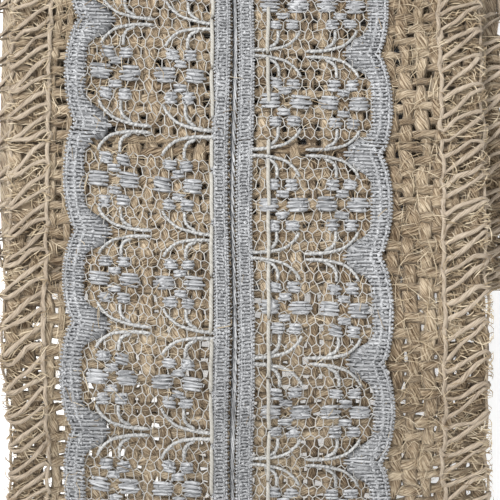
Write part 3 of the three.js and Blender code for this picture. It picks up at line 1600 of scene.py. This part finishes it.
    def border(self, stretch: Stretch) -> FlatWork:
        """Works the scalloped borders: rungs across, knots on them, two cords along, and picots.

        Args:
            stretch: the length of ribbon.

        Returns:
            Both borders.
        """
        work = FlatWork()
        pitch = self.repeat / self.rungs_per_repeat
        rung = Bench.rod(1.0, 0.4, self.rung_height)
        fill = Bench.knob(0.62, 0.52, 0.34)
        picot = Bench.knob(0.5, 0.44, 0.34)
        top = self.ground + 0.1
        for edge in Edge:
            rows = self.rows(stretch, edge, pitch, self.notch + pitch / 2)
            count, seen = len(rows), stretch.seen(rows)
            outer, inner = self.scallop(rows, edge), self.band_inner(rows, edge)
            chance = np.random.default_rng(70 + edge.value + count)
            lift = top + chance.normal(0, 0.04, count)
            sizes = together(outer - inner, 1 + chance.normal(0, 0.08, count), 1.0)
            places = together(edge.value * (outer + inner) / 2, rows, lift)
            work.stamp(rung, places, sizes, chance.normal(0, 0.04, count))
            for share in self.border_knots:
                spots = together(edge.value * (inner + (outer - inner) * share), rows, lift)
                self._knots(work, fill, chance, spots, seen, (0.0, 0.12, self.stray))
            beads = together(edge.value * outer, rows, top)
            work.stamp(picot, beads, 1 + chance.normal(0, 0.15, (count, 3)))
            for depth, wide in self.border_cords:
                self._beaded_cord(
                    work, stretch, edge, (pitch, self.notch), wide,
                    lambda along: self.scallop(along, edge) - depth,
                )
        return work

    def _beaded_cord(self, work: FlatWork, stretch: Stretch, edge: Edge,
                     rungs: tuple[float, float], wide: float,
                     line: Callable[[np.ndarray], np.ndarray]) -> None:
        """Adds a cord that swells between rungs.

        Args:
            work: where it is drawn.
            stretch: the length of ribbon.
            edge: which half of the lace.
            rungs: the rungs' spacing, and a place that it passes through.
            wide: the cord's width.
            line: how far out it lies at distances along the lace.
        """
        along = self.rows(stretch, edge, rungs[0] * 0.75, rungs[1])
        count, swell = len(along), beat(len(along))
        chance = np.random.default_rng(int(wide * 100) + edge.value + count)
        out = line(along) + chance.normal(0, 0.035, count)
        path = together(edge.value * out, along, self.ground + 0.11 + 0.03 * swell)
        width = wide * (1 + 0.22 * swell + chance.normal(0, 0.08, count))
        work.tubes(path[None], width, 0.3, 4)

    def braids(self, stretch: Stretch) -> FlatWork:
        """Works the two braids down the middle and the threads that cross between them.

        Args:
            stretch: the length of ribbon.

        Returns:
            The braids.
        """
        work = FlatWork()
        width = self.braid_outer - self.braid_inner
        rung = Bench.rod(width, 0.38, self.rung_height)
        fill = Bench.knob(0.6, 0.5, 0.34)
        loop = Bench.knob(0.46, 0.4, 0.32)
        top = self.ground + 0.1
        for edge in Edge:
            rows = self.rows(stretch, edge, self.braid_pitch, self.phase)
            count, seen = len(rows), stretch.seen(rows)
            chance = np.random.default_rng(80 + edge.value + count)
            places = together(edge.value * (self.braid_inner + self.braid_outer) / 2, rows, top)
            sizes = 1 + chance.normal(0, 0.06, (count, 3))
            work.stamp(rung, places, sizes, chance.normal(0.1, 0.06, count))
            for inset in self.braid_knots:
                spots = places + [edge.value * (inset - width / 2), 0.0, 0.0]
                self._knots(work, fill, chance, spots, seen, (self.stray, 0.1, self.stray))
            for side in (-0.5, 0.5):
                spots = places + [edge.value * side * width, self.braid_pitch / 2, 0.02]
                work.stamp(loop, spots, 1 + chance.normal(0, 0.12, (count, 3)))
            for inset in (self.braid_cord_inset, width - self.braid_cord_inset):
                self._beaded_cord(
                    work, stretch, edge, (self.braid_pitch, self.phase), self.braid_cord,
                    lambda along: self.braid_inner + inset + 0 * along,
                )
        rows = self.rows(stretch, Edge.LEFT, self.repeat / self.rows_per_repeat, self.phase)
        spots = together(0.0, rows, self.ground)
        for way in (-0.7, 0.7):
            line = curve_through([(-way, -0.5, 0.0), (0.0, 0.0, 0.04), (way, 0.5, 0.0)], 5)
            work.tubes(spots[:, None] + line, self.strand, self.strand, 4)
        return work

    def build(self, made: Made, materials: Sequence[bpy.types.Material]) -> None:
        """Args:
            made: the stretch's pieces.
            materials: the finishes of the net, the thicker threads and the stems.
        """
        stretch = made.stretch
        ground = self.net(stretch)
        ground.take_in(self.backing(stretch), 1)
        flowers = self.flowers(stretch)
        flowers.take_in(self.stems(stretch), 1)
        works = {"lace_braids": self.braids(stretch), "lace_borders": self.border(stretch)}
        if stretch.free:
            ground.take_in(flowers, 1)
        else:
            works["lace_flowers"] = flowers
        ground.move(self.lay)
        if not stretch.free:
            sides = self.middle - self.plain_half, self.middle + self.plain_half
            hidden = stretch.end, stretch.hidden_end
            ground.slab(sides, hidden, self.plain_heights, self.plain_step)
        for name, work in works.items():
            work.move(self.lay)
            made.keep(name, work, materials[1:], "lace")
        sheet = made.keep("lace_ground", ground, materials, "lace", "lace")


@dataclass(frozen=True)
class StitchLine:
    """A line of straight stitches along the ribbon."""

    stitch: float
    gaps: tuple[float, float]
    steps: int
    lean: float = 0.12
    hidden_steps: int = 4

    def laid(self, stretch: Stretch, phase: float, seed: int) -> Iterable[tuple]:
        """Lays the stitches.

        Args:
            stretch: the length of ribbon.
            phase: where one of them starts.
            seed: what makes them the same each time.

        Yields:
            The part of the stretch, the shares of a stitch's length, the places along the
            ribbon, and how each stitch leans.
        """
        for part in stretch.parts():
            starts = spaced(self.stitch, phase, part.low, part.high)[:, None]
            share = np.linspace(0, 1, self.hidden_steps if part.hidden else self.steps)[None]
            along = starts + self.gaps[0] + share * (self.stitch - self.gaps[1])
            chance = np.random.default_rng(seed + len(starts))
            yield part, share, stretch.within(along), chance.normal(0, self.lean, starts.shape)


@dataclass
class Seams:
    """The two lockstitch seams that hold the lace: the needle's thread above, the bobbin's below."""

    places: dict[Edge, float] = field(default_factory=lambda: {Edge.LEFT: -4.4, Edge.RIGHT: 2.75})
    line: StitchLine = StitchLine(7.25, (0.15, 0.3), 15)
    width: float = 0.52
    height: float = 0.3
    dip_share: float = 0.11
    dip_width: float = 0.72
    levels: dict[bool, tuple[float, float]] = field(
        default_factory=lambda: {True: (0.55, 1.04), False: (0.35, 0.86)}
    )

    def thread(self, stretch: Stretch, edge: Edge, above: bool) -> FlatWork:
        """Draws one thread's stitches.

        Args:
            stretch: the length of ribbon.
            edge: which seam.
            above: whether it is the needle's thread.

        Returns:
            The stitches.
        """
        work = FlatWork()
        face = 1 if above else -1
        base, crown = self.levels[above]
        seed = 90 + edge.value + 3 * face
        for part, share, along, lean in self.line.laid(stretch, 3.0 + edge.value, seed):
            across = self.places[edge] + lean * (share - 0.5) + 0.03 * np.sin(9 * share + 40 * lean)
            dip = np.clip(np.minimum(share, 1 - share) / self.dip_share, 0, 1)
            height = face * (base + (crown - base) * np.sin(dip * math.pi / 2))
            width = self.width * (self.dip_width + (1 - self.dip_width) * dip)
            work.tubes(together(across, along, height), width, self.height, part.sides)
        return work


@dataclass
class Serging:
    """Three-thread serging on both edges: a line of needle stitches, and loops above and below
    that meet on the edge."""

    inners: dict[Edge, float] = field(default_factory=lambda: {Edge.LEFT: 25.4, Edge.RIGHT: 24.95})
    edge: float = 29.95
    line: StitchLine = StitchLine(4.0, (0.1, 0.1), 9)
    thread: float = 0.6
    thread_height: float = 0.32
    slack: float = 0.22
    lower_share: float = 0.88
    needle: float = 0.58
    needle_height: float = 0.3
    needle_inset: float = 0.45
    needle_bow: float = 0.32
    purl_width: float = 0.42
    fibres_per_length: float = 34.0
    hidden_fibres_per_length: float = 1.0
    under_share: float = 0.2
    fibre_band: tuple[float, float] = (24.6, 0.3)
    fibre_limits: tuple[float, float] = (23.8, 0.75)
    fibre_turn: float = 0.3
    fibre_bend: float = 0.8
    fibre_lengths: tuple[float, float] = (4.0, 0.4)
    shortest_fibre: float = 0.5
    face_share: float = 0.75
    fibre_levels: tuple[float, float] = (0.3, 0.8)
    fibre_rise: float = 0.2
    fibre_widths: tuple[float, float] = (0.08, 0.17)

    def needle_thread(self, stretch: Stretch, edge: Edge) -> FlatWork:
        """Draws the inner line of stitches.

        Args:
            stretch: the length of ribbon.
            edge: which edge.

        Returns:
            The stitches.
        """
        work = FlatWork()
        laid = self.line.laid(stretch, 1.0 + edge.value, 110 + edge.value)
        for part, share, along, lean in laid:
            bow = self.needle_bow * np.sin(math.pi * share) + lean
            across = edge.value * (self.inners[edge] - self.needle_inset + bow)
            rise = np.abs(np.sin(math.pi * share)) ** 0.5
            paths = together(across, along, 0.3 + 0.45 * rise)
            width = self.needle * (0.6 + 0.4 * rise)
            work.tubes(paths, width, self.needle_height, part.sides)
        return work

    def looper(self, stretch: Stretch, edge: Edge, above: bool) -> FlatWork:
        """Draws a looper's thread, out to the edge and back twice a stitch.

        Args:
            stretch: the length of ribbon.
            edge: which edge.
            above: whether it lies on the lace side.

        Returns:
            The thread.
        """
        inner, outer = self.inners[edge], self.edge
        loop = [
            (inner, -2.0, 0.62), (inner + 1.6, -0.75, 0.9), (outer - 1.5, 0.75, 0.9),
            (outer - 0.2, 1.75, 0.7), (outer + 0.2, 2.25, 0.2), (outer - 0.2, 2.65, 0.66),
            (outer - 1.5, 2.15, 0.92), (inner + 1.6, 1.1, 0.92), (inner + 0.1, 0.25, 0.66),
            (inner - 0.35, 0.8, 0.5), (inner - 0.1, 1.5, 0.5),
        ]
        face, depth = (1, 1.0) if above else (-1, -self.lower_share)
        work = FlatWork()
        for part in stretch.parts():
            starts = spaced(self.line.stitch, 1.0, part.low, part.high)
            chance = np.random.default_rng(130 + edge.value + 5 * face + len(starts))
            slack = chance.normal(0, self.slack, (len(starts), len(loop), 2))
            points = np.array(loop) + together(0.5 * slack[..., 0], slack[..., 1], 0.0)
            points[..., 1] += starts[:, None]
            points = points[:, :: 2 if part.hidden else 1].reshape(-1, 3)
            steps = len(points) * (1 if part.hidden else 2)
            across, along, height = curve_through(points, steps).T
            if edge is Edge.LEFT:
                along = starts[0] + starts[-1] - along
            path = together(across * edge.value, stretch.within(along), height * depth)
            wave = Wander(140 + edge.value, 1, 9).at(np.arange(steps) * 0.5)
            width = self.thread * (1 + 0.15 * wave)
            work.tubes(path[None], width, self.thread_height, part.sides)
        return work

    def purl(self, work: FlatWork, stretch: Stretch, edge: Edge) -> None:
        """Adds the cord where the loops lock along the edge.

        Args:
            work: the upper looper's thread.
            stretch: the length of ribbon.
            edge: which edge.
        """
        for part in stretch.parts():
            step = 1.5 if part.hidden else 0.5
            along = np.linspace(part.low, part.high, int((part.high - part.low) / step))
            out = self.edge - 0.02 + 0.15 * Wander(150 + edge.value, 1, 16).at(along)[0]
            path = together(edge.value * out, along, 0.15 + 0.12 * np.sin(along * 2.1))
            work.tubes(path[None], self.purl_width, self.purl_width, part.sides)

    def fibres(self, stretch: Stretch, seed: int) -> FlatWork:
        """Draws the frayed weft fibres between the loops and past the edges.

        Args:
            stretch: the length of ribbon.
            seed: what makes them the same each time.

        Returns:
            The fibres.
        """
        chance = np.random.default_rng(seed)
        work = FlatWork()
        for part in stretch.parts():
            dense = self.hidden_fibres_per_length if part.hidden else self.fibres_per_length
            count = int((part.high - part.low) * dense)
            side = -signs(chance, count, 0.5)
            along = chance.uniform(part.low, part.high, count)
            kept = stretch.seen(along) | (chance.random(count) < self.under_share)
            side, along, count = side[kept], along[kept], int(kept.sum())
            out = chance.uniform(self.fibre_band[0], self.edge + self.fibre_band[1], count)
            comb = 0.75 * np.sin(1.6 * along + 2.0 * side) + 0.3 * np.sin(0.53 * along)
            heading = comb + chance.normal(0, self.fibre_turn, count)
            length = chance.gamma(*self.fibre_lengths, count) + self.shortest_fibre
            hairs = Hairs(heading, length, chance.normal(0, self.fibre_bend, count))
            face = signs(chance, count, self.face_share)
            lift = chance.uniform(*self.fibre_levels, count)
            height = face[:, None] * (lift[:, None] + self.fibre_rise * hairs.arch)
            across, run = hairs.run(out - length / 2, along)
            across = np.clip(across, self.fibre_limits[0], self.edge + self.fibre_limits[1])
            run = np.clip(run, part.low + stretch.margin, part.high - stretch.margin)
            paths = together(side[:, None] * across, run, height)
            hairs.draw(work, paths, chance.uniform(*self.fibre_widths, count))
        return work


@dataclass
class Runner:
    """The whole runner."""

    route: Route
    finishes: Finishes = field(default_factory=Finishes)
    hessian: Hessian = field(default_factory=Hessian)
    lace: Lace = field(default_factory=Lace)
    seams: Seams = field(default_factory=Seams)
    serging: Serging = field(default_factory=Serging)
    overlap: float = 12.0
    edge_overhang: float = 0.25

    def stretches(self) -> Iterable[Stretch]:
        """Divides the ribbon.

        Yields:
            The two lengths of ribbon, one for each body.
        """
        hinge, end = self.route.hinge, self.route.covered + self.overlap
        yield Stretch("free_end", "free_end", 0.0, hinge, hinge, self.route.under)
        yield Stretch("wound", "bundle", hinge, end, self.route.length, self.route.under)

    def build(self) -> None:
        """Makes every piece of both stretches."""
        looks = self.finishes
        jute, fibre, net, lace, stem, sewing, serging = (
            look.material() for look in (looks.jute, looks.fibre, looks.net, looks.lace,
                                         looks.stem, looks.sewing, looks.serging)
        )
        for stretch in self.stretches():
            made = Made(self.route, stretch)
            phase, seed = self.route.hinge, 31 if stretch.free else 32
            warp = made.keep(
                "hessian_warp", self.hessian.warp(stretch, phase), [jute], "hessian", "hessian"
            )
            with_warp = [
                made.keep(name, work, [look], "hessian") for name, work, look in (
                    ("hessian_weft", self.hessian.weft(stretch, phase), jute),
                    ("hessian_fibres", self.hessian.fibres(stretch, seed), fibre),
                    ("edge_fibres", self.serging.fibres(stretch, seed + 10), fibre),
                )
            ]
            self.lace.build(made, [net, lace, stem])
            for edge in Edge:
                for name, work in self.seam_threads(stretch, edge):
                    made.keep(name, work, [sewing], "sewing_thread", name)
                for name, work in self.serging_threads(stretch, edge):
                    made.keep(name, work, [serging], "serging_thread", name)

    def seam_threads(self, stretch: Stretch, edge: Edge) -> Iterable[tuple[str, FlatWork]]:
        """Draws one seam's threads.

        Args:
            stretch: the length of ribbon.
            edge: which seam.

        Yields:
            Each thread's name and its stitches.
        """
        for above, word in ((True, "needle"), (False, "bobbin")):
            yield f"{edge.word}_seam_{word}_thread", self.seams.thread(stretch, edge, above)

    def serging_threads(self, stretch: Stretch, edge: Edge) -> Iterable[tuple[str, FlatWork]]:
        """Draws the threads that serge one edge.

        Args:
            stretch: the length of ribbon.
            edge: which edge.

        Yields:
            Each thread's name and its stitches.
        """
        yield f"{edge.word}_serging_needle_thread", self.serging.needle_thread(stretch, edge)
        upper = self.serging.looper(stretch, edge, True)
        self.serging.purl(upper, stretch, edge)
        yield f"{edge.word}_upper_looper_thread", upper
        yield f"{edge.word}_lower_looper_thread", self.serging.looper(stretch, edge, False)


@dataclass(frozen=True)
class Studio:
    """The pale floor, the soft lights and the camera."""

    floor_size: float = 6.0
    floor_colours: tuple[tuple[float, float, float], ...] = ((0.86, 0.86, 0.855), (0.9, 0.9, 0.895))
    floor_grain: float = 30.0
    floor_glow: float = 0.36
    world_colour: tuple[float, float, float, float] = (0.97, 0.985, 1.0, 1.0)
    world_strength: float = 1.05
    elevation: float = math.radians(66.0)
    distance: float = 0.48
    view_width: float = 0.0625
    aim_past_front: float = 0.01915
    aim_right: float = 0.00044
    aim_above_top: float = 0.0008
    sensor: float = 36.0

    def floor(self) -> None:
        """Adds the floor."""
        Bench.clear()
        bpy.ops.mesh.primitive_plane_add(size=self.floor_size)
        floor = bpy.context.object
        floor.name = "studio_floor"
        paint = Paint("Pale floor")
        where = paint.node("ShaderNodeTexCoord", {}, {}, "Object")
        grain = {"Vector": where, "Scale": self.floor_grain}
        grain = paint.node("ShaderNodeTexNoise", {}, grain, "Fac")
        colour = paint.ramp(grain, list(zip((0.0, 1.0), self.floor_colours)))
        floor.data.materials.append(
            paint.finish(
                Base_Color=colour, Roughness=0.7, Emission_Color=(1.0, 1.0, 1.0, 1.0),
                Emission_Strength=self.floor_glow,
            )
        )

    def light(self, name: str, place: Sequence[float], size: float, power: float) -> None:
        """Adds a soft light that faces the runner.

        Args:
            name: its name.
            place: where it is.
            size: its width.
            power: its power in watts.
        """
        data = bpy.data.lights.new(name, "AREA")
        data.shape, data.size, data.energy = "DISK", size, power
        lamp = bpy.data.objects.new(name, data)
        lamp.location = place
        lamp.rotation_euler = (-Vector(place)).to_track_quat("-Z", "Y").to_euler()
        bpy.context.scene.collection.objects.link(lamp)

    def world(self) -> None:
        """Sets an even white surround."""
        world = bpy.data.worlds.new("Studio")
        world.use_nodes = True
        background = world.node_tree.nodes["Background"]
        background.inputs["Color"].default_value = self.world_colour
        background.inputs["Strength"].default_value = self.world_strength
        bpy.context.scene.world = world

    def camera(self, route: Route) -> None:
        """Adds the camera, above the place where the free end leaves the bundle.

        Args:
            route: the way the ribbon lies.
        """
        aim_y = route.front * MM - self.aim_past_front
        aim = Vector((self.aim_right, aim_y, route.top * MM + self.aim_above_top))
        back = Vector((0, -math.cos(self.elevation), math.sin(self.elevation)))
        data = bpy.data.cameras.new("Camera")
        data.sensor_width = self.sensor
        data.lens = self.sensor * self.distance / self.view_width
        data.clip_start, data.clip_end = 0.01, 50.0
        camera = bpy.data.objects.new("Camera", data)
        camera.location = aim + back * self.distance
        camera.rotation_euler = (-back).to_track_quat("-Z", "Y").to_euler()
        bpy.context.scene.collection.objects.link(camera)
        bpy.context.scene.camera = camera

    def build(self, route: Route) -> None:
        """Sets up the studio.

        Args:
            route: the way the ribbon lies.
        """
        self.camera(route)
        self.floor()
        self.world()
        self.light("Key light", (-0.6, 0.35, 0.9), 0.45, 13.0)
        self.light("Fill light", (-0.2, -0.9, 0.6), 0.9, 4.5)
        bpy.context.scene.view_settings.view_transform = "Standard"


def main() -> None:
    """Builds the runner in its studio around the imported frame."""
    logging.basicConfig(level=logging.INFO, format="%(name)s %(message)s")
    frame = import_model()
    route = Route(Winding(), frame)
    LOG.info("ribbon length %.1f, hinge at %.1f", route.length, route.hinge)
    Studio().build(route)
    Runner(route).build()


if __name__ == "__main__":
    main()
